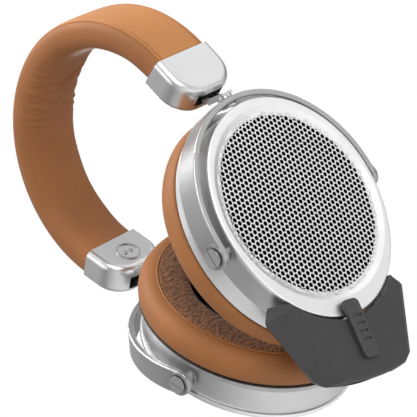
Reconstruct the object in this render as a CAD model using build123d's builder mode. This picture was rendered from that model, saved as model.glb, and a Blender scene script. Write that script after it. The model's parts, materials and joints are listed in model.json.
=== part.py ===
from build123d import *
import math
import os

# Over-ear headphones at rest. Millimetres and degrees.
# +Z up, X from ear to ear (+X is the wearer's left), the wearer faces -Y.
# The origin is the crown contact point under the headband cushion.

# Headband arch: elliptical section in the XZ plane, extruded across Y
band_width = 31.0
band_thickness = 13.9
band_half_width = 64.2
band_rise = 59.5
band_center_z = -(band_rise - band_thickness)
cover_thickness = 1.2
cover_outer_fillet = 2.6
cover_inner_fillet = 5.0
spring_depth = 2.3
spring_thickness = 0.8
spring_width = 18.0
spring_run_in = 6.0
strip_width = 23.0
strip_thickness = 0.6

# End caps, square to the arch where the leather ends
cap_curl = 9.3
cap_joint_x = 57.0
cap_joint_z = -53.5
cap_gap = 0.3
cap_width = 32.0
cap_thickness = 14.6
cap_length = 21.4
cap_corner = 12.5
cap_wall = 1.6
cap_fillet = 3.4
slot_width = 15.0
slot_height = 6.4

# Slider strip, neck and swivel pin
mouth_x = 54.15
mouth_z = -77.4
stem_curl = 24.7
stem_top_x = 58.9
stem_top_z = -82.35
link_profile = [(2.6, -0.8), (2.6, 0.8), (0.8, 2.6), (-2.3, 9.0), (-3.8, 9.0), (-2.1, 2.6), (-0.7, -0.8)]
link_width = 6.0
strip_run = 32.0
slider_width = 9.0
slider_thickness = 1.6
neck_radius = 3.4
pin_radius = 2.4
running_gap = 0.05
guide_low = 7.4
right_extension = 2.7
stem_lean = {"left": 0.0, "right": -3.3}

# Yoke, measured from the tilt axis
yoke_inner = 48.0
yoke_thickness = 2.6
yoke_width = 11.0
yoke_center_y = 4.1
yoke_rise = yoke_center_y + yoke_inner + yoke_thickness
yoke_edge = 0.7
pivot_hole = 3.1
bush_radius = pivot_hole
screw_radius = 2.0
screw_head = 3.9
screw_head_height = 1.3

# Rest pose of the cups
rest_swivel = {"left": 2.4, "right": -0.9}
rest_tilt = {"left": 0.0, "right": -14.4}
chin_turn = 11.0

# Cup, measured outwards from the tilt axis and from the grille's centre
grille_center_y = 3.0
front_z = 7.5
bezel_back_z = 5.4
wall_front_z = 5.2
wall_flare_z = -6.5
wall_back_z = -11.3
flange_thickness = 2.0
egg_front = (44.4, 46.4, 49.8)
egg_back = (48.5, 49.5, 52.4)
egg_bezel = (45.4, 47.0, 50.6)
egg_cavity = (42.0, 44.2, 47.4)
egg_pad_ring = (47.0, 48.0, 50.9)
egg_pad = (48.3, 49.3, 52.2)
egg_pad_face = (41.6, 42.6, 45.2)
egg_ear = (27.0, 30.0, 32.0)
grille_opening = 39.0
recess_opening = 43.2
grille_radius = 40.6
grille_thickness = 0.7
grille_seat_z = 6.2
grille_pitch = 5.0
grille_hole = 1.75
cloth_thickness = 0.3
frame_outer = 40.2
frame_inner = 36.6
magnet_count = 9
magnet_pitch = 7.4
magnet_width = 3.0
magnet_height = 2.4
diaphragm_thickness = 0.2
baffle_z = -9.6
baffle_thickness = 1.8
baffle_opening = 35.5
baffle_screw_ring = 41.8
pad_base_z = -12.5
pad_face_z = -22.4
pad_fillet = 5.0
panel_thickness = 0.9

# Wireless unit clipped under the left cup
unit_front_z = 8.6
unit_split_z = 2.2
unit_back_z = -5.4
unit_wall = 1.7
unit_front_shape = [(29.0, -39.5), (32.4, -43.0), (20.4, -72.6), (17.0, -75.2)]
unit_rim_shape = [(36.0, -38.0), (40.0, -43.4), (28.4, -71.0), (23.4, -74.6)]
unit_back_shape = [(29.4, -38.6), (33.2, -43.6), (22.4, -70.0), (18.0, -73.0)]
unit_front_sag = 1.6
unit_rim_sag = 2.6
unit_ridge_fillet = 1.4
unit_egg_front = (46.6, 48.4, 52.0)
unit_egg_back = (49.2, 50.2, 53.4)
bar_width = 8.6
bar_top_y = -44.5
bar_bottom_y = -69.5
bar_base_z = unit_front_z + 0.1
bar_height = 2.0
bar_groove_count = 4
bar_groove_pitch = 3.4
end_plate_width = 27.0
end_plate_height = 6.4
end_plate_y = -75.2
light_x = -2.0
light_radius = 0.9
button_y = -65.0
button_radius = 2.8
room_step_z = 3.4
jack_outer_y = 49.8
jack_radius = 3.0
plug_radius = 1.75
plug_z = 0.0

os.makedirs("parts", exist_ok=True)


def save(name, piece):
    piece.label = name
    export_step(piece, f"parts/{name}.step")


def sign(side):
    return 1 if side == "left" else -1


def side_plane(side, x, z, curl):
    """Local frame of one side: x along the head, y up the arm, z out from the head."""
    s = sign(side)
    lean = math.radians(curl)
    return Plane(
        origin=(s * x, 0, z),
        x_dir=(0, s, 0),
        z_dir=(s * math.cos(lean), 0, -math.sin(lean)),
    )


def turned(plane, axis_dir, angle):
    axis = Axis((0, 0, 0), axis_dir)
    return Plane(
        origin=plane.origin,
        x_dir=plane.x_dir.rotate(axis, angle),
        z_dir=plane.z_dir.rotate(axis, angle),
    )


def moved(plane, x, y, z):
    at = plane.origin + plane.x_dir * x + plane.y_dir * y + plane.z_dir * z
    return Plane(origin=at, x_dir=plane.x_dir, z_dir=plane.z_dir)


def edge_plane(plane):
    """The plane seen along the local x axis: its x is up the arm, its y points out."""
    return Plane(origin=plane.origin, x_dir=plane.y_dir, z_dir=plane.x_dir)


def floor_plane(plane):
    """The plane seen along the local y axis: its x is the local x, its y points in."""
    return Plane(origin=plane.origin, x_dir=plane.x_dir, z_dir=plane.y_dir)


cap_frame = {}
mouth_frame = {}
strip_frame = {}
stem_frame = {}
yoke_frame = {}
cup_frame = {}
face_frame = {}
for side in ("left", "right"):
    cap_frame[side] = side_plane(side, cap_joint_x, cap_joint_z, cap_curl)
    stem = side_plane(side, stem_top_x, stem_top_z, stem_curl)
    mouth_frame[side] = Plane(
        origin=(sign(side) * mouth_x, 0, mouth_z),
        x_dir=cap_frame[side].x_dir,
        z_dir=cap_frame[side].y_dir,
    )
    strip_frame[side] = mouth_frame[side]
    if side == "right":
        slide = cap_frame[side].y_dir * -right_extension
        stem = Plane(origin=stem.origin + slide, x_dir=stem.x_dir, z_dir=stem.z_dir)
        strip_frame[side] = mouth_frame[side].offset(-right_extension)
    stem = turned(stem, stem.z_dir, stem_lean[side])
    stem_frame[side] = stem
    yoke = turned(moved(stem, 0, -yoke_rise, 0), stem.y_dir, rest_swivel[side])
    yoke_frame[side] = yoke
    cup_frame[side] = turned(yoke, yoke.x_dir, rest_tilt[side])
    center = moved(cup_frame[side], 0, grille_center_y, 0)
    face_frame[side] = turned(center, center.z_dir, -sign(side) * chin_turn)


def egg(sizes, grow=0.0):
    """Round outline with its own height above and below the middle."""
    half, top, bottom = (size + grow for size in sizes)
    with BuildSketch(Plane.XY) as sketch:
        with BuildLine():
            EllipticalCenterArc((0, 0), half, top, start_angle=0, arc_size=180)
            EllipticalCenterArc((0, 0), half, bottom, start_angle=180, arc_size=180)
        make_face()
    return sketch.sketch


def slide_prism(side, width, height, low, high):
    """Straight bar along the slide direction, measured up from the retracted yoke top."""
    with BuildPart() as prism:
        with BuildSketch(mouth_frame[side].offset(low)):
            Rectangle(width, height)
        extrude(amount=high - low)
    return prism.part


# ---------------------------------------------------------------- headband
def arch_wedge(joint_offset):
    """XZ area above both end-cap joints, moved up the arch by joint_offset."""
    lean = math.radians(cap_curl)
    up = (math.sin(lean), math.cos(lean))
    out = (math.cos(lean), -math.sin(lean))
    x = cap_joint_x + up[0] * joint_offset
    z = cap_joint_z + up[1] * joint_offset
    far = (x + out[0] * 60, z + out[1] * 60)
    near = (0, z + out[1] * -x / out[0])
    return [near, far, (far[0], 60), (-far[0], 60), (-far[0], far[1])]


def arch(depth_out, depth_in, width, joint_offset, fillet_out=0.0, fillet_in=0.0):
    """Band layer between two depths under the outer surface of the arch."""
    with BuildPart() as layer:
        with BuildSketch(Plane.XZ) as section:
            with Locations((0, band_center_z)):
                Ellipse(band_half_width - depth_out, band_rise - depth_out)
                Ellipse(
                    band_half_width - depth_in, band_rise - depth_in, mode=Mode.SUBTRACT
                )
            with BuildLine():
                Polyline(*arch_wedge(joint_offset), close=True)
            make_face(mode=Mode.INTERSECT)
        extrude(amount=width / 2, both=True)
        long_edges = layer.edges().filter_by(lambda e: abs(e.center().Y) > width / 2 - 0.01)
        long_edges = long_edges.filter_by(lambda e: e.length > 40).sort_by(SortBy.LENGTH)
        if fillet_in > 0:
            fillet(long_edges[:2], fillet_in)
        if fillet_out > 0:
            edges = layer.edges().filter_by(lambda e: e.length > 40)
            edges = edges.filter_by(lambda e: abs(e.center().Y) > width / 2 - 0.01)
            fillet(edges.sort_by(SortBy.LENGTH)[-2:], fillet_out)
    return layer.part


cover_width = band_width - 2 * cover_thickness
with BuildPart() as headband_cover:
    add(arch(0, band_thickness, band_width, 0, cover_outer_fillet, cover_inner_fillet))
    add(
        arch(
            cover_thickness,
            band_thickness - cover_thickness,
            cover_width,
            -2,
            cover_outer_fillet - cover_thickness,
            cover_inner_fillet - cover_thickness,
        ),
        mode=Mode.SUBTRACT,
    )
save("headband_cover", headband_cover.part)

foam_top = spring_depth + spring_thickness + 0.1
with BuildPart() as headband_foam:
    add(
        arch(
            foam_top,
            band_thickness - cover_thickness - 0.1,
            cover_width - 0.2,
            0.2,
            0,
            cover_inner_fillet - cover_thickness,
        )
    )
    for side in ("left", "right"):
        room = slide_prism(side, slider_width + 1.2, slider_thickness + 1.4, 20, strip_run + 6)
        add(room, mode=Mode.SUBTRACT)
save("headband_foam", headband_foam.part)

with BuildPart() as headband_top_pad:
    add(arch(cover_thickness + 0.1, spring_depth - 0.1, cover_width - 3.2, 0.2))
save("headband_top_pad", headband_top_pad.part)

with BuildPart() as band_spring:
    add(arch(spring_depth, spring_depth + spring_thickness, spring_width, -spring_run_in))
save("band_spring", band_spring.part)

with BuildPart() as headband_top_strip:
    add(arch(-strip_thickness, -0.02, strip_width, 0.3))
save("headband_top_strip", headband_top_strip.part)


# ---------------------------------------------------------------- end caps
def cap_outline(grow):
    with BuildSketch(Plane.XY) as sketch:
        width = cap_width + 2 * grow
        bottom = -cap_length - grow
        with BuildLine():
            Polyline(
                (-width / 2, -cap_gap),
                (-width / 2, bottom),
                (width / 2, bottom),
                (width / 2, -cap_gap),
                close=True,
            )
        make_face()
        fillet(sketch.vertices().group_by(Axis.Y)[0], cap_corner + grow)
    return sketch.sketch


for side in ("left", "right"):
    cap = cap_frame[side]
    stem = stem_frame[side]
    with BuildPart() as end_cap:
        with BuildSketch(cap.offset(-cap_thickness / 2)):
            add(cap_outline(0))
        extrude(amount=cap_thickness)
        outer_edges = end_cap.edges().filter_by(
            lambda e: abs((e.center() - cap.origin).dot(cap.z_dir)) > cap_thickness / 2 - 0.01
        )
        fillet(
            outer_edges.filter_by(
                lambda e: (e.center() - cap.origin).dot(cap.y_dir) < -cap_gap - 0.5
            ),
            cap_fillet,
        )
        with BuildSketch(cap.offset(-cap_thickness / 2 + cap_wall)):
            add(cap_outline(-cap_wall))
        extrude(amount=cap_thickness - 2 * cap_wall, mode=Mode.SUBTRACT)
        add(slide_prism(side, slot_width, slot_height, -6, 7), mode=Mode.SUBTRACT)
    save(f"{side}_end_cap", end_cap.part)

    with BuildPart() as slider_guide:
        add(slide_prism(side, 20, 6.0, guide_low, guide_low + 10))
        add(
            slide_prism(
                side,
                slider_width + 2 * running_gap,
                slider_thickness + 2 * running_gap,
                0,
                30,
            ),
            mode=Mode.SUBTRACT,
        )
    save(f"{side}_slider_guide", slider_guide.part)

    # Raised ring and dots on the inner face of the cap: one dot left, two dots right
    mark = moved(cap, 0, -cap_length * 0.5, -cap_thickness / 2 - 0.5)
    with BuildPart() as side_mark:
        with BuildSketch(mark):
            Circle(5.6)
            Circle(4.9, mode=Mode.SUBTRACT)
            spots = [(0, 0)] if side == "left" else [(-1.7, 0), (1.7, 0)]
            with Locations(*spots):
                Circle(1.0)
        extrude(amount=0.5)
    save(f"{side}_side_mark", side_mark.part)

    # ------------------------------------------------------------ slider
    mouth = strip_frame[side]
    with BuildPart() as slider:
        with BuildSketch(mouth.offset(1.8)):
            Rectangle(slider_width, slider_thickness)
        extrude(amount=strip_run)
        for step in range(6):
            with BuildSketch(mouth.offset(12 + 2.6 * step)):
                with Locations((slider_width / 2, 0), (-slider_width / 2, 0)):
                    Rectangle(1.2, slider_thickness)
            extrude(amount=1.2, mode=Mode.SUBTRACT)
        with BuildSketch(Plane(origin=mouth.origin, x_dir=cap.y_dir, z_dir=cap.x_dir)):
            with BuildLine():
                Polyline(*link_profile, close=True)
            make_face()
        extrude(amount=link_width / 2, both=True)
        with BuildSketch(floor_plane(stem).offset(0.3)):
            Circle(neck_radius)
        extrude(amount=1.6)
        with BuildSketch(floor_plane(stem).offset(-yoke_thickness - 0.3)):
            Circle(pin_radius)
        extrude(amount=yoke_thickness + 1.2)
        with BuildSketch(floor_plane(stem).offset(-yoke_thickness - 0.65)):
            Circle(3.2)
        extrude(amount=0.5)
    save(f"{side}_slider", slider.part)

    # ------------------------------------------------------------ yoke
    yoke = yoke_frame[side]
    arm = edge_plane(yoke)
    with BuildPart() as fork:
        with BuildSketch(yoke):
            for radius, mode in (
                (yoke_inner + yoke_thickness, Mode.ADD),
                (yoke_inner, Mode.SUBTRACT),
            ):
                with Locations((0, yoke_center_y)):
                    Circle(radius, mode=mode)
                with Locations((0, yoke_center_y / 2 - 5)):
                    Rectangle(2 * radius, yoke_center_y + 10, mode=mode)
        extrude(amount=yoke_width / 2, both=True)
        with BuildSketch(arm):
            Circle(yoke_width / 2)
            with Locations((40, 0)):
                Rectangle(80, yoke_width)
        extrude(amount=60, both=True, mode=Mode.INTERSECT)
        rim = fork.edges().filter_by(lambda e: e.length > 60)
        fillet(rim, yoke_edge)
        for end in (-1, 1):
            with BuildSketch(arm.offset(end * (yoke_inner + yoke_thickness))):
                Circle(5.3)
                Circle(4.5, mode=Mode.SUBTRACT)
            extrude(amount=end * 0.5)
        with BuildSketch(arm):
            Circle(pivot_hole)
        extrude(amount=60, both=True, mode=Mode.SUBTRACT)
        with BuildSketch(floor_plane(yoke).offset(yoke_rise - 6)):
            Circle(pin_radius + running_gap)
        extrude(amount=12, mode=Mode.SUBTRACT)
    save(f"{side}_yoke", fork.part)

    with BuildPart() as pivot_bushes:
        for end in (-1, 1):
            with BuildSketch(arm.offset(end * (yoke_inner + 0.05))):
                Circle(bush_radius)
                Circle(screw_radius + running_gap, mode=Mode.SUBTRACT)
            extrude(amount=end * (yoke_thickness + 0.05))
    save(f"{side}_pivot_bushes", pivot_bushes.part)


# ---------------------------------------------------------------- cups
def egg_prism(plane, sizes, low, high, grow=0.0):
    with BuildPart() as prism:
        with BuildSketch(plane.offset(low)):
            add(egg(sizes, grow))
        extrude(amount=high - low)
    return prism.part


def disc(plane, radius, low, high):
    with BuildPart() as plate:
        with BuildSketch(plane.offset(low)):
            Circle(radius)
        extrude(amount=high - low)
    return plate.part


def hex_grid(pitch, limit):
    """Centres of a hexagonal lattice inside a circle."""
    row_pitch = pitch * math.sqrt(3) / 2
    rows = int(limit / row_pitch) + 1
    spots = []
    for row in range(-rows, rows + 1):
        shift = 0.5 * pitch if row % 2 else 0.0
        for column in range(-rows - 1, rows + 2):
            x = column * pitch + shift
            y = row * row_pitch
            if math.hypot(x, y) < limit:
                spots.append((x, y))
    return spots


def screw_spots():
    angles = (65, 115, 245, 295)
    spots = []
    for angle in angles:
        reach = baffle_screw_ring + (1.4 if angle > 180 else 0.0)
        turn = math.radians(angle)
        spots.append((reach * math.cos(turn), reach * math.sin(turn)))
    return spots


for side in ("left", "right"):
    cup = cup_frame[side]
    face = face_frame[side]
    arm = edge_plane(cup)

    with BuildPart() as housing:
        add(egg_prism(face, egg_front, wall_flare_z, wall_front_z))
        with BuildSketch(face.offset(wall_back_z)):
            add(egg(egg_back))
        with BuildSketch(face.offset(wall_flare_z)):
            add(egg(egg_front))
        loft(ruled=True)
        add(
            egg_prism(face, egg_cavity, wall_back_z - 1, wall_front_z - flange_thickness),
            mode=Mode.SUBTRACT,
        )
        add(disc(face, grille_radius + 0.2, 0, 10), mode=Mode.SUBTRACT)
        for end in (-1, 1):
            with BuildSketch(arm.offset(end * 40.6)):
                Circle(4.2)
            extrude(amount=end * 4)
        with BuildSketch(arm.offset(-60)):
            Circle(screw_radius + 0.02)
        extrude(amount=120, mode=Mode.SUBTRACT)
        with BuildSketch(face.offset(baffle_z + baffle_thickness)):
            with Locations(*screw_spots()):
                Circle(1.9)
        extrude(amount=wall_front_z - flange_thickness - baffle_z - baffle_thickness)
        add(disc(face, frame_outer + 0.1, -30, 10), mode=Mode.SUBTRACT)
        with BuildSketch(face.offset(baffle_z)):
            with Locations(*screw_spots()):
                Circle(0.95)
        extrude(amount=8, mode=Mode.SUBTRACT)
        if side == "left":
            bore = floor_plane(moved(face, 0, 0, plug_z))
            with BuildSketch(bore.offset(-40)):
                Circle(jack_radius + 0.05)
            extrude(amount=-20, mode=Mode.SUBTRACT)
    save(f"{side}_cup_housing", housing.part)

    with BuildPart() as bezel:
        with BuildSketch(face.offset(bezel_back_z)):
            add(egg(egg_bezel))
        extrude(amount=front_z - bezel_back_z)
        fillet(bezel.edges().filter_by(
            lambda e: (e.center() - face.origin).dot(face.z_dir) > front_z - 0.01
        ), 0.9)
        with BuildSketch(face.offset(bezel_back_z)):
            Circle(grille_opening)
        extrude(amount=front_z - bezel_back_z, mode=Mode.SUBTRACT)
        with BuildSketch(face.offset(grille_seat_z)):
            Circle(grille_radius + 0.1)
        with BuildSketch(face.offset(front_z + 0.05)):
            Circle(recess_opening)
        loft(mode=Mode.SUBTRACT)
    save(f"{side}_bezel_ring", bezel.part)

    with BuildPart() as grille:
        with BuildSketch(face.offset(grille_seat_z)):
            Circle(grille_radius)
            with Locations(*hex_grid(grille_pitch, grille_opening - 2.2)):
                Circle(grille_hole, mode=Mode.SUBTRACT)
        extrude(amount=grille_thickness)
    save(f"{side}_grille", grille.part)

    cloth_z = bezel_back_z - grille_thickness - cloth_thickness - 0.1
    save(f"{side}_dust_cloth", disc(face, frame_outer - 0.4, cloth_z, cloth_z + cloth_thickness))

    with BuildPart() as driver_frame:
        add(disc(face, frame_outer, -7.6, 3.8))
        add(disc(face, frame_inner, -10, 5), mode=Mode.SUBTRACT)
        with BuildSketch(face.offset(-0.7)):
            Circle(frame_inner + 1.2)
            Circle(frame_inner - 2.2, mode=Mode.SUBTRACT)
        extrude(amount=0.6)
    save(f"{side}_driver_frame", driver_frame.part)

    with BuildPart() as magnet_bars:
        with BuildSketch(face.offset(0.8)):
            for index in range(magnet_count):
                across = (index - (magnet_count - 1) / 2) * magnet_pitch
                reach = math.sqrt(frame_inner**2 - (abs(across) + magnet_width / 2) ** 2)
                with Locations((across, 0)):
                    Rectangle(magnet_width, 2 * reach - 0.4)
        extrude(amount=magnet_height)
    save(f"{side}_magnet_bars", magnet_bars.part)

    save(f"{side}_diaphragm", disc(face, frame_inner - 0.2, 0.0, diaphragm_thickness))

    with BuildPart() as baffle:
        add(egg_prism(face, egg_cavity, baffle_z, baffle_z + baffle_thickness, -0.3))
        with BuildSketch(face.offset(baffle_z)):
            Circle(baffle_opening)
            with Locations(*screw_spots()):
                Circle(1.15)
        extrude(amount=baffle_thickness, mode=Mode.SUBTRACT)
    save(f"{side}_baffle", baffle.part)

    with BuildPart() as baffle_screws:
        with BuildSketch(face.offset(baffle_z - 0.9)):
            with Locations(*screw_spots()):
                Circle(1.6)
        extrude(amount=0.85)
        with BuildSketch(face.offset(baffle_z - 0.1)):
            with Locations(*screw_spots()):
                Circle(0.9)
        extrude(amount=6)
    save(f"{side}_baffle_screws", baffle_screws.part)

    with BuildPart() as pad_ring:
        add(egg_prism(face, egg_pad_ring, pad_base_z + 0.1, wall_back_z - 0.1))
        add(egg_prism(face, egg_ear, -20, 0, 3.0), mode=Mode.SUBTRACT)
    save(f"{side}_pad_ring", pad_ring.part)

    with BuildPart() as ear_pad:
        add(egg_prism(face, egg_pad, pad_face_z, pad_base_z))
        add(egg_prism(face, egg_ear, -40, 0), mode=Mode.SUBTRACT)
        rims = ear_pad.edges().filter_by(
            lambda e: (e.center() - face.origin).dot(face.z_dir) < pad_face_z + 0.01
        )
        fillet(rims.filter_by(lambda e: e.length > 110), pad_fillet)
    save(f"{side}_ear_pad", ear_pad.part)

    with BuildPart() as pad_panel:
        add(egg_prism(face, egg_pad_face, pad_face_z - panel_thickness - 0.05, pad_face_z - 0.05))
        add(egg_prism(face, egg_ear, -40, 0, 2.0), mode=Mode.SUBTRACT)
    save(f"{side}_pad_panel", pad_panel.part)

    with BuildPart() as pivot_screws:
        head_base = yoke_inner + yoke_thickness + 0.4
        for end in (-1, 1):
            with BuildSketch(arm.offset(end * head_base)):
                Circle(screw_head)
            extrude(amount=end * screw_head_height)
            with BuildSketch(arm.offset(end * (head_base + screw_head_height))):
                Rectangle(2 * screw_head + 1, 0.9)
            extrude(amount=end * -0.6, mode=Mode.SUBTRACT)
            with BuildSketch(arm.offset(end * (head_base + 0.1))):
                Circle(screw_radius)
            extrude(amount=end * -8.4)
    save(f"{side}_pivot_screws", pivot_screws.part)

# ---------------------------------------------------------------- wireless unit
unit = face_frame["left"]


def unit_profile(shape, sag, grow=0.0):
    """Trapezoid with a bowed bottom edge; grow moves every corner outwards."""
    right = [(x + grow, y - grow * 0.4) for x, y in shape]
    left = [(-x, y) for x, y in reversed(right)]
    (x_end, y_end) = right[-1]
    with BuildSketch(Plane.XY) as sketch:
        with BuildLine():
            Line(left[-1], right[0])
            Polyline(*right)
            ThreePointArc((x_end, y_end), (0, y_end - sag), left[0])
            Polyline(*left)
        make_face()
    return sketch.sketch


def unit_solid(low, high, grow):
    """The unit's outer form between two depths, without the hollow for the cup."""
    with BuildPart() as form:
        if high > unit_split_z:
            with BuildSketch(unit.offset(unit_split_z)):
                add(unit_profile(unit_rim_shape, unit_rim_sag, grow))
            with BuildSketch(unit.offset(high)):
                add(unit_profile(unit_front_shape, unit_front_sag, grow))
            loft(ruled=True)
            if grow == 0:
                front = form.faces().filter_by(
                    lambda f: (f.center() - unit.origin).dot(unit.z_dir) > high - 0.01
                )
                fillet(front.edges(), unit_ridge_fillet)
        if low < unit_split_z:
            with BuildSketch(unit.offset(low)):
                add(unit_profile(unit_back_shape, unit_rim_sag, grow))
            with BuildSketch(unit.offset(unit_split_z)):
                add(unit_profile(unit_rim_shape, unit_rim_sag, grow))
            loft(ruled=True)
    return form.part


with BuildPart() as cup_room:
    add(egg_prism(unit, unit_egg_back, -30, room_step_z))
    add(egg_prism(unit, unit_egg_front, room_step_z, 30))

with BuildPart() as plug_bore:
    with BuildSketch(floor_plane(moved(unit, 0, 0, plug_z)).offset(-40)):
        Circle(plug_radius + 0.05)
    extrude(amount=-18)

end_slot_z = 1.8
with BuildPart() as end_recess:
    with BuildSketch(floor_plane(moved(unit, 0, 0, end_slot_z)).offset(end_plate_y + 1.6)):
        SlotOverall(end_plate_width + 0.1, end_plate_height + 0.1)
    extrude(amount=-8)

with BuildPart() as unit_front_shell:
    add(unit_solid(unit_split_z, unit_front_z, 0))
    add(unit_solid(unit_split_z, unit_front_z - unit_wall, -unit_wall), mode=Mode.SUBTRACT)
    add(egg_prism(unit, unit_egg_back, unit_split_z, room_step_z + unit_wall, unit_wall))
    add(egg_prism(unit, unit_egg_front, room_step_z, 12, unit_wall))
    add(unit_solid(unit_split_z, unit_front_z, 0), mode=Mode.INTERSECT)
    add(cup_room.part, mode=Mode.SUBTRACT)
    add(end_recess.part, mode=Mode.SUBTRACT)
save("unit_front_shell", unit_front_shell.part)

button_plane = moved(unit, 0, button_y, unit_back_z)
with BuildPart() as unit_back_shell:
    add(unit_solid(unit_back_z, unit_split_z, 0))
    add(unit_solid(unit_back_z + unit_wall, unit_split_z + 1, -unit_wall), mode=Mode.SUBTRACT)
    add(egg_prism(unit, unit_egg_back, unit_back_z, unit_split_z, unit_wall))
    add(unit_solid(unit_back_z, unit_split_z, 0), mode=Mode.INTERSECT)
    add(cup_room.part, mode=Mode.SUBTRACT)
    add(plug_bore.part, mode=Mode.SUBTRACT)
    add(end_recess.part, mode=Mode.SUBTRACT)
    add(disc(button_plane, button_radius + running_gap, -1, 4), mode=Mode.SUBTRACT)
save("unit_back_shell", unit_back_shell.part)

with BuildPart() as unit_clip_bar:
    with BuildSketch(unit.offset(bar_base_z)):
        with Locations((0, (bar_top_y + bar_bottom_y) / 2)):
            RectangleRounded(bar_width, bar_top_y - bar_bottom_y, 2.4)
    extrude(amount=bar_height)
    front = unit_clip_bar.faces().filter_by(
        lambda f: (f.center() - unit.origin).dot(unit.z_dir) > bar_base_z + bar_height - 0.01
    )
    fillet(front.edges(), 0.8)
    with BuildSketch(unit.offset(bar_base_z + bar_height)):
        for step in range(bar_groove_count):
            across = (step - (bar_groove_count - 1) / 2) * bar_groove_pitch
            with Locations((0, (bar_top_y + bar_bottom_y) / 2 + across)):
                SlotOverall(bar_width - 3.6, 1.1)
    extrude(amount=-0.5, mode=Mode.SUBTRACT)
save("unit_clip_bar", unit_clip_bar.part)

plug_floor = floor_plane(moved(unit, 0, 0, plug_z))
with BuildPart() as unit_plug:
    with BuildSketch(plug_floor.offset(-59)):
        Circle(plug_radius)
    extrude(amount=15)
    with BuildSketch(plug_floor.offset(-59)):
        Circle(3.0)
    extrude(amount=3.6)
save("unit_plug", unit_plug.part)

with BuildPart() as left_jack_socket:
    with BuildSketch(plug_floor.offset(-jack_outer_y)):
        Circle(jack_radius)
        Circle(plug_radius + running_gap, mode=Mode.SUBTRACT)
    extrude(amount=jack_outer_y - 42.5)
    with BuildSketch(plug_floor.offset(-42.5)):
        Circle(jack_radius)
    extrude(amount=1.4)
save("left_jack_socket", left_jack_socket.part)

with BuildPart() as unit_battery:
    with BuildSketch(unit.offset(-1.8)):
        with Locations((0, -64.6)):
            RectangleRounded(28, 9, 1.5)
    extrude(amount=4.2)
save("unit_battery", unit_battery.part)

with BuildPart() as unit_board:
    with BuildSketch(unit.offset(3.4)):
        with Locations((0, -65)):
            RectangleRounded(31, 15, 2)
    extrude(amount=1)
    with BuildSketch(unit.offset(4.4)):
        with GridLocations(9, 6, 3, 2):
            with Locations((0, -65)):
                Rectangle(5, 3.4)
    extrude(amount=0.9)
save("unit_board", unit_board.part)

end_floor = floor_plane(moved(unit, 0, 0, end_slot_z)).offset(end_plate_y)
with BuildPart() as unit_end_plate:
    with BuildSketch(end_floor):
        SlotOverall(end_plate_width, end_plate_height)
        with Locations((light_x, 0)):
            Circle(light_radius, mode=Mode.SUBTRACT)
    extrude(amount=1.2)
    with BuildSketch(end_floor):
        SlotOverall(end_plate_width - 3, end_plate_height - 3)
        SlotOverall(end_plate_width - 4.4, end_plate_height - 4.4, mode=Mode.SUBTRACT)
    extrude(amount=0.4, mode=Mode.SUBTRACT)
save("unit_end_plate", unit_end_plate.part)

with BuildPart() as unit_light:
    with BuildSketch(end_floor.offset(0.1)):
        with Locations((light_x, 0)):
            Circle(light_radius - 0.02)
    extrude(amount=2.4)
save("unit_light", unit_light.part)

with BuildPart() as unit_button:
    add(disc(button_plane, button_radius, -0.7, unit_wall + 0.4))
    add(disc(button_plane, button_radius + 0.7, unit_wall + 0.35, unit_wall + 0.9))
save("unit_button", unit_button.part)
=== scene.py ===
import bpy
import bmesh
import json
import math
from mathutils import Matrix, Vector


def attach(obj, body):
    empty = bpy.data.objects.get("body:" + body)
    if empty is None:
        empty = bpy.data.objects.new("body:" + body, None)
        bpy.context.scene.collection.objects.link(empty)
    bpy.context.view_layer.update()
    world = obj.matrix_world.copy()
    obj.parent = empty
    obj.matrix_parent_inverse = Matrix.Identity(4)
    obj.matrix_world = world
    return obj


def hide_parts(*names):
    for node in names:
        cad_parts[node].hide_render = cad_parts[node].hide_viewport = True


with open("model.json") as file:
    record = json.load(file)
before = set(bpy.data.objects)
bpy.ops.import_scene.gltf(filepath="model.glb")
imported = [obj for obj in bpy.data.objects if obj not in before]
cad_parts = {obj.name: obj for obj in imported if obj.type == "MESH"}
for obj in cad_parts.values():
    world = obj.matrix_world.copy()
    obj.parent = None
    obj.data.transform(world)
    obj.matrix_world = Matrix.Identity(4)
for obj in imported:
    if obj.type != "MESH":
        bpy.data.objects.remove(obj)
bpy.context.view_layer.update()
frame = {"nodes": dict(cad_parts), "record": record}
MM = 0.001

# ------------------------------------------------------------------ cup frames
# Joint places and rest pose, as in the CAD; millimetres and degrees.
CAP_CURL, CAP_X, CAP_Z = 9.3, 57.0, -53.5
STEM_CURL, STEM_X, STEM_Z = 24.7, 58.9, -82.35
YOKE_RISE = 54.7
GRILLE_CENTER = 3.0
RIGHT_EXTENSION = 2.7
STEM_LEAN = {"left": 0.0, "right": -3.3}
SWIVEL = {"left": 2.4, "right": -0.9}
TILT = {"left": 0.0, "right": -14.4}
CHIN_TURN = 11.0
SIGN = {"left": 1, "right": -1}


def axes_matrix(x, z, origin):
    """4 x 4 matrix of a local frame; lengths in the frame are in mm."""
    y = z.cross(x)
    m = Matrix.Identity(4)
    for row in range(3):
        m[row][0], m[row][1], m[row][2] = x[row] * MM, y[row] * MM, z[row] * MM
        m[row][3] = origin[row] * MM
    return m


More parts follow.
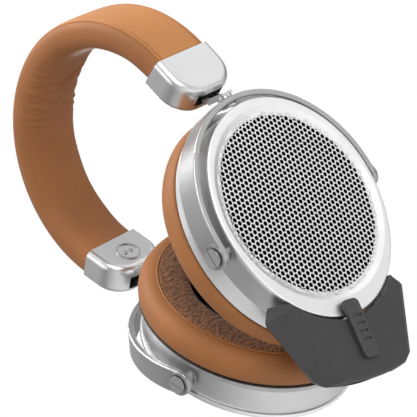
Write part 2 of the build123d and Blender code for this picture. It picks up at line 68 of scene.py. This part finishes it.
def face_frame(side):
    """Frame of a cup's face: origin at the grille's centre, x across, z out of the cup."""
    s = SIGN[side]

    def leaned(curl):
        a = math.radians(curl)
        return Vector((0, s, 0)), Vector((s * math.cos(a), 0, -math.sin(a)))

    def turn(pair, axis, angle):
        r = Matrix.Rotation(math.radians(angle), 3, axis)
        return r @ pair[0], r @ pair[1]

    cap = leaned(CAP_CURL)
    stem = leaned(STEM_CURL)
    stem_at = Vector((s * STEM_X, 0, STEM_Z))
    if side == "right":
        stem_at -= cap[1].cross(cap[0]) * RIGHT_EXTENSION
    stem = turn(stem, stem[1], STEM_LEAN[side])
    stem_up = stem[1].cross(stem[0])
    yoke = turn(stem, stem_up, SWIVEL[side])
    pivot = stem_at - stem_up * YOKE_RISE
    cup = turn(yoke, yoke[0], TILT[side])
    face_at = pivot + cup[1].cross(cup[0]) * GRILLE_CENTER
    face = turn(cup, cup[1], -s * CHIN_TURN)
    return axes_matrix(*face, face_at)


FACES = {side: face_frame(side) for side in SIGN}


# ------------------------------------------------------------------ materials
class Shader:
    """A Principled material with helpers for procedural detail in object space."""

    def __init__(self, name, color, roughness, metallic=0.0):
        self.mat = bpy.data.materials.new(name)
        self.mat.use_nodes = True
        self.tree = self.mat.node_tree
        self.bsdf = self.tree.nodes["Principled BSDF"]
        self.bsdf.inputs["Base Color"].default_value = (*color, 1)
        self.bsdf.inputs["Roughness"].default_value = roughness
        self.bsdf.inputs["Metallic"].default_value = metallic
        self.color = color
        self.coords = self.tree.nodes.new("ShaderNodeTexCoord").outputs["Object"]
        self.normal = None

    def node(self, kind, **values):
        """Add a node; a name with a leading underscore is a setting, the others are sockets."""
        n = self.tree.nodes.new(kind)
        for key, value in values.items():
            if key.startswith("_"):
                setattr(n, key[1:], value)
            else:
                n.inputs[key.replace("_", " ")].default_value = value
        return n

    def link(self, a, b):
        self.tree.links.new(a, b)

    def stretched(self, scale):
        mapping = self.node("ShaderNodeMapping", Scale=scale)
        self.link(self.coords, mapping.inputs["Vector"])
        return mapping.outputs["Vector"]

    def noise(self, scale, detail=3.0, rough=0.55, vector=None):
        n = self.node("ShaderNodeTexNoise", Scale=scale, Detail=detail, Roughness=rough)
        self.link(vector or self.coords, n.inputs["Vector"])
        return n.outputs["Fac"]

    def voronoi(self, scale, vector=None):
        n = self.node("ShaderNodeTexVoronoi", Scale=scale)
        self.link(vector or self.coords, n.inputs["Vector"])
        return n.outputs["Distance"]

    def ramp(self, fac, low, high, a, b):
        r = self.node("ShaderNodeValToRGB")
        r.color_ramp.elements[0].position = low
        r.color_ramp.elements[1].position = high
        r.color_ramp.elements[0].color = (*a, 1)
        r.color_ramp.elements[1].color = (*b, 1)
        self.link(fac, r.inputs["Fac"])
        return r.outputs["Color"]

    def vary_color(self, fac, low, high, dark, light):
        a = tuple(c * dark for c in self.color)
        b = tuple(min(1.0, c * light) for c in self.color)
        self.link(self.ramp(fac, low, high, a, b), self.bsdf.inputs["Base Color"])

    def vary_roughness(self, fac, low, high):
        m = self.node("ShaderNodeMapRange")
        m.inputs["To Min"].default_value = low
        m.inputs["To Max"].default_value = high
        self.link(fac, m.inputs["Value"])
        self.link(m.outputs["Result"], self.bsdf.inputs["Roughness"])

    def bump(self, height, strength, distance, invert=False):
        b = self.node("ShaderNodeBump", Strength=strength, Distance=distance, _invert=invert)
        self.link(height, b.inputs["Height"])
        if self.normal is not None:
            self.link(self.normal, b.inputs["Normal"])
        self.normal = b.outputs["Normal"]
        self.link(self.normal, self.bsdf.inputs["Normal"])

    def mix(self, a, b, share):
        m = self.node("ShaderNodeMix", _data_type="RGBA")
        m.inputs[0].default_value = share
        self.link(a, m.inputs[6])
        self.link(b, m.inputs[7])
        return m.outputs[2]


def leather(name, color, grain=1500, depth=0.00012):
    """Fine pebbled leather with soft cloudy colour and slightly polished high spots."""
    s = Shader(name, color, 0.5)
    clouds = s.noise(28, 4)
    s.vary_color(clouds, 0.3, 0.72, 0.88, 1.1)
    s.vary_roughness(s.noise(600, 3), 0.42, 0.66)
    s.bump(s.voronoi(grain), 0.45, depth, invert=True)
    s.bump(s.noise(grain * 0.28, 3), 0.35, depth * 1.6)
    s.bsdf.inputs["Specular IOR Level"].default_value = 0.22
    s.bsdf.inputs["Sheen Weight"].default_value = 0.03
    s.bsdf.inputs["Sheen Roughness"].default_value = 0.5
    return s.mat


def metal(name, color, roughness, grain=5200, depth=0.00001, spread=0.06):
    """Fine blasted and anodised aluminium."""
    s = Shader(name, color, roughness, 1.0)
    s.vary_color(s.noise(60, 4), 0.25, 0.75, 0.95, 1.03)
    s.vary_roughness(s.noise(900, 4), roughness - spread, roughness + spread)
    s.bump(s.noise(grain, 2), 0.35, depth)
    return s.mat


def turned_steel(name, color, roughness):
    """Machined steel with faint parallel tool marks."""
    s = Shader(name, color, roughness, 1.0)
    marks = s.noise(700, 3, vector=s.stretched((1, 9, 1)))
    s.vary_color(marks, 0.2, 0.8, 0.85, 1.06)
    s.vary_roughness(s.noise(1500, 3), roughness - 0.08, roughness + 0.1)
    s.bump(marks, 0.25, 0.00002)
    return s.mat


def plastic(name, color, roughness, grain=2600, depth=0.00006, speckle=0.25):
    """Moulded plastic with a fine spark-eroded texture."""
    s = Shader(name, color, roughness)
    s.vary_color(s.noise(grain * 0.6, 3, 0.7), 0.3, 0.75, 1 - speckle, 1 + speckle)
    s.vary_roughness(s.noise(400, 3), roughness - 0.07, roughness + 0.08)
    s.bump(s.voronoi(grain), 0.5, depth)
    s.bump(s.noise(grain * 0.5, 3), 0.3, depth)
    return s.mat


def woven(name, color, pitch, depth, sheen=0.2):
    """Tight weave: two crossed rows of threads over a soft cloudy colour."""
    s = Shader(name, color, 0.8)
    cells = s.voronoi(pitch, vector=s.stretched((1.0, 1.0, 1.25)))
    flecks = s.noise(pitch * 0.8, 3, vector=s.stretched((1.0, 0.75, 1.5)))
    dark = tuple(c * 0.42 for c in color)
    base = s.ramp(cells, 0.12, 0.62, tuple(min(1, c * 1.28) for c in color), dark)
    light = s.ramp(flecks, 0.35, 0.7, dark, tuple(min(1, c * 1.35) for c in color))
    s.link(s.mix(base, light, 0.45), s.bsdf.inputs["Base Color"])
    s.bump(cells, 0.9, depth, invert=True)
    s.bump(flecks, 0.6, depth)
    s.bsdf.inputs["Sheen Weight"].default_value = sheen
    s.bsdf.inputs["Specular IOR Level"].default_value = 0.2 * (sheen > 0)
    return s.mat


MATERIALS = {
    "band_leather": leather("band_leather", (0.315, 0.122, 0.042)),
    # The top strip is the band's own tan leather painted lighter: painted light on the top of the
    # band.
    "strip_leather": leather("strip_leather", (0.47, 0.198, 0.066), 1900, 0.00008),
    "pad_leather": leather("pad_leather", (0.335, 0.132, 0.044)),
    "pad_fabric": woven("pad_fabric", (0.27, 0.11, 0.045), 560, 0.0004),
    "foam": plastic("foam", (0.20, 0.19, 0.17), 0.9, 900, 0.0003),
    "spring_steel": turned_steel("spring_steel", (0.5, 0.5, 0.52), 0.35),
    "cap_metal": metal("cap_metal", (0.72, 0.72, 0.725), 0.3),
    "mark_metal": metal("mark_metal", (0.5, 0.5, 0.51), 0.35),
    "slider_steel": turned_steel("slider_steel", (0.62, 0.62, 0.63), 0.22),
    # The yokes are the same satin silver as the other metal parts, painted darker: painted shade.
    "yoke_metal": metal("yoke_metal", (0.46, 0.46, 0.465), 0.34),
    "cup_metal": metal("cup_metal", (0.66, 0.66, 0.665), 0.4),
    "bezel_metal": metal("bezel_metal", (0.93, 0.93, 0.935), 0.4),
    "grille_metal": metal("grille_metal", (0.92, 0.92, 0.925), 0.45),
    # The cloth behind the grille is its own black, darkened further and without shine: painted
    # shade in the recess behind the holes.
    "dust_cloth": woven("dust_cloth", (0.004, 0.004, 0.004), 1800, 0.0001, 0.0),
    "black_plastic": plastic("black_plastic", (0.012, 0.012, 0.012), 0.55),
    "bush_plastic": plastic("bush_plastic", (0.03, 0.03, 0.03), 0.5),
    "magnet": metal("magnet", (0.02, 0.02, 0.022), 0.5),
    "film": metal("film", (0.05, 0.05, 0.05), 0.5),
    "screw_steel": metal("screw_steel", (0.62, 0.62, 0.63), 0.22),
    "unit_plastic": plastic("unit_plastic", (0.034, 0.034, 0.035), 0.48, 2300, 0.00007),
    "unit_bar": plastic("unit_bar", (0.043, 0.043, 0.044), 0.45, 2300, 0.00006),
    "unit_trim": plastic("unit_trim", (0.05, 0.051, 0.053), 0.42),
    "plug_metal": metal("plug_metal", (0.75, 0.55, 0.22), 0.2),
    "battery": metal("battery", (0.3, 0.32, 0.35), 0.4),
    "circuit_board": plastic("circuit_board", (0.01, 0.08, 0.03), 0.35),
    "light_lens": plastic("light_lens", (0.02, 0.02, 0.022), 0.2),
}
THREAD = leather("thread", (0.50, 0.25, 0.11), 4000, 0.00005)
THREAD_DARK = leather("thread_dark", (0.27, 0.115, 0.05), 4000, 0.00005)

for part in frame["record"]["subparts"]:
    obj = frame["nodes"][part["node"]]
    obj.data.materials.clear()
    obj.data.materials.append(MATERIALS[part["material_slot"]])


# ------------------------------------------------------------------ mesh helpers
def end_caps(rows, cols, base=0):
    """The two end faces of a stack of rings."""
    last = base + (rows - 1) * cols
    return [tuple(base + k for k in range(cols)), tuple(last + k for k in reversed(range(cols)))]


def make_object(name, verts, faces, material, smooth=True):
    mesh = bpy.data.meshes.new(name)
    mesh.from_pydata([tuple(v) for v in verts], [], faces)
    mesh.validate()
    obj = bpy.data.objects.new(name, mesh)
    bpy.context.scene.collection.objects.link(obj)
    mesh.materials.append(material)
    bm = bmesh.new()
    bm.from_mesh(mesh)
    bmesh.ops.recalc_face_normals(bm, faces=bm.faces)
    bm.to_mesh(mesh)
    bm.free()
    if smooth:
        mesh.polygons.foreach_set("use_smooth", [True] * len(mesh.polygons))
    return obj


def grid_faces(rows, cols, wrap_rows=False):
    """Quads between rows of points, each row being a closed ring."""
    faces = []
    for i in range(rows if wrap_rows else rows - 1):
        for j in range(cols):
            a = i * cols + j
            b = i * cols + (j + 1) % cols
            c = ((i + 1) % rows) * cols + (j + 1) % cols
            d = ((i + 1) % rows) * cols + j
            faces.append((a, b, c, d))
    return faces


def smooth_path(points, count):
    """Catmull-Rom samples through points of any dimension."""
    n = len(points)
    out = []
    spans = n - 1
    for k in range(count):
        t = k / (count - 1) * spans
        i = min(int(t), spans - 1)
        f = t - i
        p = [points[max(0, min(n - 1, i + d))] for d in (-1, 0, 1, 2)]
        out.append(tuple(
            0.5 * (
                2 * b
                + (c - a) * f
                + (2 * a - 5 * b + 4 * c - d) * f * f
                + (3 * b - a - 3 * c + d) * f ** 3
            )
            for a, b, c, d in zip(*p)
        ))
    return out


def tube(name, path, ups, radius, material, closed):
    """A round piping along a path of points; ups says which way is up at each."""
    verts = []
    sides = 8
    n = len(path)
    for i, p in enumerate(path):
        ahead = path[(i + 1) % n] if closed or i + 1 < n else p
        behind = path[i - 1] if closed or i > 0 else p
        along = (ahead - behind).normalized()
        u = (ups[i] - along * ups[i].dot(along)).normalized()
        w = along.cross(u)
        for k in range(sides):
            a = 2 * math.pi * k / sides
            verts.append(p + (w * math.cos(a) + u * math.sin(a)) * radius)
    faces = grid_faces(n, sides, wrap_rows=closed)
    if not closed:
        faces += end_caps(n, sides)
    return make_object(name, verts, faces, material)


def stitches(name, path, ups, pitch, length, radius, material):
    """Short thread stitches, one every pitch, laid along a dense path."""
    verts, faces = [], []
    run, last = 0.0, -pitch
    rings, sides = 5, 6
    for i in range(1, len(path)):
        run += (path[i] - path[i - 1]).length
        if run - last < pitch:
            continue
        last = run
        along = (path[i] - path[i - 1]).normalized()
        u = (ups[i] - along * ups[i].dot(along)).normalized()
        w = along.cross(u)
        base = len(verts)
        for r in range(rings):
            f = r / (rings - 1) * 2 - 1
            swell = max(0.25, math.sqrt(max(0.0, 1 - f * f)))
            sink = -radius * 0.9 * f * f
            mid = path[i] + along * (f * length / 2) + u * sink
            for k in range(sides):
                a = 2 * math.pi * k / sides
                verts.append(mid + (w * math.cos(a) + u * math.sin(a)) * radius * swell)
        faces += [tuple(base + q for q in quad) for quad in grid_faces(rings, sides)]
        faces += end_caps(rings, sides, base)
    return make_object(name, verts, faces, material)


# ------------------------------------------------------------------ headband
# Outer half width, outer rise and centre height of the arch.
BAND_A, BAND_B, BAND_C = 64.2, 59.5, -45.6
BAND_END = math.radians(-8.9)
END_REACH = 0.15
BAND_STEPS, STRIP_STEPS, SEAM_STEPS = 420, 260, 700


def band_point(t, depth, across):
    """Point of the band: t along the arch, depth below its outer face, across in Y."""
    a, b = BAND_A - depth, BAND_B - depth
    return Vector((a * math.cos(t), across, b * math.sin(t) + BAND_C)) * MM


def band_out(t):
    return Vector((math.cos(t) / BAND_A, 0, math.sin(t) / BAND_B)).normalized()


def end_t(depth):
    """Arch parameter where the end cap's edge cuts the band at this depth."""
    a, b = BAND_A - depth, BAND_B - depth
    lean = math.radians(CAP_CURL)
    up = (math.sin(lean), math.cos(lean))
    goal = CAP_X * up[0] + CAP_Z * up[1] - END_REACH
    t = BAND_END
    for _ in range(20):
        f = a * math.cos(t) * up[0] + (b * math.sin(t) + BAND_C) * up[1] - goal
        g = -a * math.sin(t) * up[0] + b * math.cos(t) * up[1]
        t -= f / g
    return t


def mirrored(half):
    """Close half a section of (depth, across) points with its mirror image."""
    return half + [(d, -y) for d, y in reversed(half[1:-1])]


BAND_HALF = [
    (0.35, 0.0), (0.3, 6.0), (0.35, 10.2), (0.75, 11.5), (0.55, 12.5), (1.25, 14.0), (2.9, 15.1),
    (5.2, 15.6), (7.8, 15.55), (10.2, 14.6), (12.2, 12.4), (13.35, 9.2), (13.8, 5.0), (13.9, 0.0),
]
STRIP_HALF = [(-0.62, 0.0), (-0.58, 6.0), (-0.45, 9.8), (-0.1, 11.1), (0.6, 11.45)]
STRIP_UNDERSIDE = [(0.75, 10.8), (0.75, 0.0)]
PIPING_DEPTH, PIPING_ACROSS, PIPING_RADIUS = 0.42, 12.1, 0.52
SEAM_DEPTH, SEAM_ACROSS, THREAD_RADIUS = -0.22, 10.7, 0.15


def band_folds(t, depth, across):
    """Gathers of the cover on the inside of the bend, fading out away from it."""
    inner = max(0.0, (depth - 5.5) / 8.4) ** 1.4
    total = 0.0
    for center, spread, sense in ((math.radians(80), 0.25, 1), (math.radians(98), 0.2, -1)):
        window = math.exp(-(((t - center) / spread) ** 2))
        slant = t + sense * across * 0.006
        crease = math.sin(slant * 61 + 1.3 * math.sin(slant * 17 + across * 0.12))
        crease += 0.5 * math.sin(slant * 97 + across * 0.3 + 2.0)
        total += window * (crease * 0.42 + 0.4)
    broad = 0.12 + 0.14 * math.sin(t * 9 + 0.7) * math.sin(across * 0.2 + t * 4)
    return inner * total + broad * min(1.0, inner * 2)


def cushion_point(t, f, depth, across):
    """Point of the padded cover; f is the share of the arch, 0 and 1 at the end caps."""
    ease = min(1.0, f / 0.03, (1 - f) / 0.03)
    bulge = 0.0 if depth < 1.5 else band_folds(t, depth, across) * ease
    p = band_point(t, depth, across)
    p -= band_out(t) * (bulge * MM * (1 if depth > 8 else 0.5))
    p.y += math.copysign(bulge * MM * 0.6, across) if 2 < depth < 12 else 0
    return p


def strip_point(t, f, depth, across):
    return band_point(t, depth, across)


def band_sweep(name, section, steps, place, material):
    """Sweep a closed section along the arch, from one end cap to the other."""
    verts = []
    for i in range(steps):
        f = i / (steps - 1)
        for depth, across in section:
            low = end_t(max(depth, 0))
            verts.append(place(low + (math.pi - 2 * low) * f, f, depth, across))
    cols = len(section)
    return make_object(name, verts, grid_faces(steps, cols) + end_caps(steps, cols), material)


def build_band():
    section = mirrored(smooth_path(BAND_HALF, 60))
    leather_slot = MATERIALS["band_leather"]
    obj = band_sweep("band_cushion", section, BAND_STEPS, cushion_point, leather_slot)
    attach(obj, "headband")
    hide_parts("headband_cover")

    section = mirrored(smooth_path(STRIP_HALF, 18) + STRIP_UNDERSIDE)
    # The strip and its piping get the lighter leather, which carries painted light.
    trim = MATERIALS["strip_leather"]
    strip = band_sweep("band_top_strip", section, STRIP_STEPS, strip_point, trim)
    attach(strip, "headband")
    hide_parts("headband_top_strip")

    low = end_t(0.3)
    ts = [low + (math.pi - 2 * low) * i / (SEAM_STEPS - 1) for i in range(SEAM_STEPS)]
    ups = [band_out(t) for t in ts]
    for tag, way in (("front", -1), ("back", 1)):
        line = [band_point(t, PIPING_DEPTH, way * PIPING_ACROSS) for t in ts]
        radius = PIPING_RADIUS * MM
        piping = tube(f"band_piping_{tag}", line[::2], ups[::2], radius, trim, closed=False)
        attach(piping, "headband")
        line = [band_point(t, SEAM_DEPTH, way * SEAM_ACROSS) for t in ts]
        sizes = 1.75 * MM, 1.15 * MM, THREAD_RADIUS * MM
        seam = stitches(f"band_stitches_{tag}", line, ups, *sizes, THREAD_DARK)
        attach(seam, "headband")


build_band()


# ------------------------------------------------------------------ ear pads
def egg_point(sizes, phi):
    """Point of an egg-shaped outline: half width, reach above and reach below its centre."""
    half_width, top, bottom = sizes
    s = math.sin(phi)
    return half_width * math.cos(phi), (top if s > 0 else bottom) * s


# Outlines of the pad and its ear opening; each profile entry is (outline, growth, height).
PAD_OUT = (48.3, 49.3, 52.2)
EAR = (27.0, 30.0, 32.0)
PAD_AROUND, PAD_ROWS, FACE_ROWS, SEAM_POINTS = 200, 44, 40, 900
PAD_PROFILE = [
    (PAD_OUT, -1.3, -12.45), (PAD_OUT, 0.2, -12.9), (PAD_OUT, 0.95, -15.2), (PAD_OUT, 1.1, -17.8),
    (PAD_OUT, 0.55, -20.4), (PAD_OUT, -1.0, -22.8), (PAD_OUT, -3.4, -24.3), (PAD_OUT, -6.3, -24.75),
    (EAR, 8.6, -24.6), (EAR, 4.0, -24.3), (EAR, 1.0, -23.2), (EAR, -0.35, -21.0),
    (EAR, -0.5, -17.0), (EAR, -0.1, -13.4), (EAR, 1.0, -12.45),
]
FACE_PROFILE = [
    (PAD_OUT, -6.25, -24.55), (PAD_OUT, -6.45, -25.05), (PAD_OUT, -7.6, -25.3),
    (PAD_OUT, -10.5, -25.42), (EAR, 8.0, -25.35), (EAR, 4.2, -25.05), (EAR, 1.9, -24.4),
    (EAR, 0.85, -23.3), (EAR, 0.75, -22.4), (EAR, 1.6, -22.6), (EAR, 5.0, -24.0),
    (PAD_OUT, -9.0, -24.4),
]
# The cloth is held fast at its seam and its base, which is above this height, and the inner
# side is held less.
PAD_BASE_Z = -13.6
INNER_HOLD = 0.6
PAD_SWELL = 0.0009
CLOTH_FRAMES = 20


def pad_ring_points(side, entries, count):
    """Rows of points: one row per profile entry, count points round the egg."""
    shift = 0.0 if side == "left" else 2.1
    rows = []
    for sizes, grow, z in entries:
        row = []
        for j in range(count):
            phi = 2 * math.pi * j / count
            x, y = egg_point(sizes, phi)
            r = math.hypot(x, y)
            x, y = x * (1 + grow / r), y * (1 + grow / r)
            lift = 0.16 * math.sin(3 * phi + shift) + 0.1 * math.sin(7 * phi + 1 + shift)
            row.append(FACES[side] @ Vector((x, y, z - lift if z < -20 else z)))
        rows.append(row)
    return rows


def dense_profile(entries, count):
    """Smooth the profile; the two outlines are mixed through the middle of the face."""
    flat = [(*(size + grow for size in sizes), z) for sizes, grow, z in entries]
    return [((a, b, c), 0.0, z) for a, b, c, z in smooth_path(flat, count)]


def pad_ring(name, side, profile, material):
    rings = pad_ring_points(side, profile, PAD_AROUND)
    verts = [p for row in rings for p in row]
    return make_object(name, verts, grid_faces(len(profile), PAD_AROUND, True), material)


def simulate_pad(obj, pinned):
    """Inflate the pad a little as cloth, holding the seams and the base."""
    mesh = obj.data
    rest = [v.co.copy() for v in mesh.vertices]
    group = obj.vertex_groups.new(name="held")
    for index, weight in pinned:
        group.add([index], weight, "REPLACE")
    cloth = obj.modifiers.new("Cloth", "CLOTH")
    st = cloth.settings
    st.quality = 4
    st.mass = 0.2
    st.tension_stiffness = 40
    st.compression_stiffness = 30
    st.shear_stiffness = 15
    st.bending_stiffness = 1.5
    st.use_pressure = True
    st.uniform_pressure_force = 3.0
    st.effector_weights.gravity = 0
    st.vertex_group_mass = "held"
    cloth.collision_settings.use_collision = False
    scene = bpy.context.scene
    scene.frame_start, scene.frame_end = 1, CLOTH_FRAMES
    for f in range(1, CLOTH_FRAMES + 1):
        scene.frame_set(f)
    shape = obj.evaluated_get(bpy.context.evaluated_depsgraph_get()).data
    moved = [v.co.copy() for v in shape.vertices]
    obj.modifiers.remove(cloth)
    scene.frame_set(1)
    for v, a, b in zip(mesh.vertices, rest, moved):
        d = b - a
        if d.length > PAD_SWELL:
            d = d.normalized() * PAD_SWELL
        v.co = a + d
    obj.vertex_groups.remove(group)
    mesh.update()


def soften(obj):
    mod = obj.modifiers.new("Subdivision", "SUBSURF")
    mod.levels = mod.render_levels = 1


def held_points(profile):
    """Vertex numbers and weights of what the cloth may not move, or only a little."""
    seam_row = PAD_ROWS // 2
    held = []
    for r in range(PAD_ROWS):
        weight = 1.0 if profile[r][2] > PAD_BASE_Z or abs(r - seam_row) < 2 else 0.0
        if r > seam_row:
            weight = max(weight, INNER_HOLD)
        if weight:
            held += [(r * PAD_AROUND + j, weight) for j in range(PAD_AROUND)]
    return held


def build_pad(side):
    body = f"{side}_cup"
    profile = dense_profile(PAD_PROFILE, PAD_ROWS)
    pad = pad_ring(f"{side}_pad_leather", side, profile, MATERIALS["pad_leather"])
    simulate_pad(pad, held_points(profile))
    soften(pad)
    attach(pad, body)
    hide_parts(f"{side}_ear_pad")

    profile = dense_profile(FACE_PROFILE, FACE_ROWS)
    panel = pad_ring(f"{side}_pad_face", side, profile, MATERIALS["pad_fabric"])
    soften(panel)
    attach(panel, body)
    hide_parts(f"{side}_pad_panel")

    inward = -(FACES[side].to_3x3() @ Vector((0, 0, 1))).normalized()
    ups = [inward] * (SEAM_POINTS + 1)
    line = pad_ring_points(side, [(PAD_OUT, -6.0, -24.95)], SEAM_POINTS)[0][::3]
    name = f"{side}_pad_piping_outer"
    piping = tube(name, line, ups, 0.5 * MM, MATERIALS["pad_leather"], closed=True)
    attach(piping, body)
    line = pad_ring_points(side, [(PAD_OUT, -7.15, -25.32)], SEAM_POINTS)[0]
    line.append(line[0])
    sizes = 1.9 * MM, 1.3 * MM, 0.16 * MM
    thread = stitches(f"{side}_pad_stitches", line, ups, *sizes, THREAD)
    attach(thread, body)


for side in ("left", "right"):
    build_pad(side)


# ------------------------------------------------------------------ fine mesh grilles
MESH_PITCH, MESH_HOLE, MESH_SHEET, MESH_TOP = 2.5, 1.05, 0.3, 6.85
MESH_RADIUS = 40.4
MESH_TURN = math.radians(19)
HOLE_SIDES = 12


def build_grille(side):
    """Flat hexagonal mesh: round holes with narrow webs, punched through the sheet."""
    row_pitch = MESH_PITCH * math.sqrt(3) / 2
    corner = MESH_PITCH / math.sqrt(3)
    c, s = math.cos(MESH_TURN), math.sin(MESH_TURN)
    angles = [2 * math.pi * k / HOLE_SIDES + math.pi / 6 for k in range(HOLE_SIDES)]
    verts, faces, index = [], [], {}

    def vert(x, y, z):
        key = (round(x, 3), round(y, 3), z)
        if key not in index:
            index[key] = len(verts)
            verts.append(FACES[side] @ Vector((x * c - y * s, x * s + y * c, z)))
        return index[key]

    def bridge(a_ids, b_ids):
        for k in range(HOLE_SIDES):
            n = (k + 1) % HOLE_SIDES
            faces.append((a_ids[k], a_ids[n], b_ids[n], b_ids[k]))

    rows = int(MESH_RADIUS / row_pitch) + 2
    for row in range(-rows, rows + 1):
        for col in range(-rows, rows + 1):
            cx = col * MESH_PITCH + (MESH_PITCH / 2 if row % 2 else 0)
            cy = row * row_pitch
            if math.hypot(cx, cy) > MESH_RADIUS - corner * 0.7:
                continue
            rim, ring = [], []
            for k, a in enumerate(angles):
                reach = MESH_PITCH / 2 if k % 2 else corner
                rim.append((cx + reach * math.cos(a), cy + reach * math.sin(a)))
                ring.append((cx + MESH_HOLE * math.cos(a), cy + MESH_HOLE * math.sin(a)))
            edges = []
            for z in (MESH_TOP, MESH_TOP - MESH_SHEET):
                outer_ids = [vert(x, y, z) for x, y in rim]
                inner_ids = [vert(x, y, z) for x, y in ring]
                bridge(outer_ids, inner_ids)
                edges.append(inner_ids)
            bridge(*edges)
    obj = make_object(f"{side}_mesh", verts, faces, MATERIALS["grille_metal"], smooth=False)
    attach(obj, f"{side}_cup")
    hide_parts(f"{side}_grille")


for side in ("left", "right"):
    build_grille(side)

# ------------------------------------------------------------------ floor, light, camera
floor_mesh = bpy.data.meshes.new("floor")
floor_mesh.from_pydata([(-4, -4, 0), (4, -4, 0), (4, 4, 0), (-4, 4, 0)], [], [(0, 1, 2, 3)])
floor = bpy.data.objects.new("floor", floor_mesh)
floor.location = (0, 0, -0.8)
bpy.context.scene.collection.objects.link(floor)
paint = Shader("floor_paint", (0.86, 0.86, 0.855), 0.7)
paint.vary_color(paint.noise(3, 2), 0.3, 0.7, 0.98, 1.02)
floor_mesh.materials.append(paint.mat)


def area_light(name, at, target, size, power, size_y=None):
    data = bpy.data.lights.new(name, "AREA")
    data.energy = power
    data.shape = "RECTANGLE"
    data.size = size
    data.size_y = size_y or size
    obj = bpy.data.objects.new(name, data)
    obj.location = at
    obj.rotation_euler = (Vector(target) - Vector(at)).to_track_quat("-Z", "Y").to_euler()
    bpy.context.scene.collection.objects.link(obj)


middle = (0.0, 0.0, -0.1)
area_light("key_top", (0.15, -0.25, 0.95), middle, 0.7, 10)
area_light("front", (0.95, -0.35, -0.05), middle, 0.6, 4.5)
area_light("side", (1.0, 0.85, 0.06), middle, 1.2, 3.2)
area_light("left_front", (0.15, -1.1, 0.38), middle, 0.8, 2.2)
area_light("back_rim", (-0.7, 0.7, 0.4), middle, 0.5, 3.5)

# The world is darker from below, and the camera itself sees a plain white backdrop.
world = bpy.data.worlds.new("studio")
bpy.context.scene.world = world
world.use_nodes = True
wt = world.node_tree
background = wt.nodes["Background"]
coord = wt.nodes.new("ShaderNodeTexCoord")
split = wt.nodes.new("ShaderNodeSeparateXYZ")
ramp = wt.nodes.new("ShaderNodeValToRGB")
ramp.color_ramp.elements[0].position = 0.25
ramp.color_ramp.elements[0].color = (0.09, 0.09, 0.092, 1)
ramp.color_ramp.elements[1].position = 0.85
ramp.color_ramp.elements[1].color = (1, 1, 1, 1)
half_up = wt.nodes.new("ShaderNodeMapRange")
half_up.inputs["From Min"].default_value = -1
half_up.inputs["From Max"].default_value = 1
wt.links.new(coord.outputs["Generated"], split.inputs[0])
wt.links.new(split.outputs["Z"], half_up.inputs["Value"])
wt.links.new(half_up.outputs["Result"], ramp.inputs["Fac"])
wt.links.new(ramp.outputs["Color"], background.inputs["Color"])
background.inputs["Strength"].default_value = 0.62
plain = wt.nodes.new("ShaderNodeBackground")
plain.inputs["Color"].default_value = (1, 1, 1, 1)
plain.inputs["Strength"].default_value = 1.0
mixer = wt.nodes.new("ShaderNodeMixShader")
path_node = wt.nodes.new("ShaderNodeLightPath")
wt.links.new(path_node.outputs["Is Camera Ray"], mixer.inputs["Fac"])
wt.links.new(background.outputs["Background"], mixer.inputs[1])
wt.links.new(plain.outputs["Background"], mixer.inputs[2])
wt.links.new(mixer.outputs["Shader"], wt.nodes["World Output"].inputs["Surface"])
bpy.context.scene.view_settings.view_transform = "Standard"

# Camera: the point it is placed from, its axes, its distance, and how far it is turned aside.
AIM = Vector((0, 0, -0.0774))
DISTANCE = 0.834
TOWARD = Vector((0.65103, -0.65068, -0.39087))
UP = Vector((0.71103, 0.34251, 0.61410))
RIGHT = Vector((0.26570, 0.67772, -0.68564))
OFF_RIGHT, OFF_UP = -0.01527, 0.00701
camera_data = bpy.data.cameras.new("camera")
camera_data.lens = 167.4
camera_data.sensor_width = 36
camera_data.clip_end = 20
camera = bpy.data.objects.new("camera", camera_data)
back = (TOWARD + RIGHT * OFF_RIGHT + UP * OFF_UP).normalized()
up = (UP - back * UP.dot(back)).normalized()
right = up.cross(back)
turn = Matrix((right, up, back)).transposed().to_4x4()
camera.matrix_world = Matrix.Translation(AIM + TOWARD * DISTANCE) @ turn
bpy.context.scene.collection.objects.link(camera)
bpy.context.scene.camera = camera
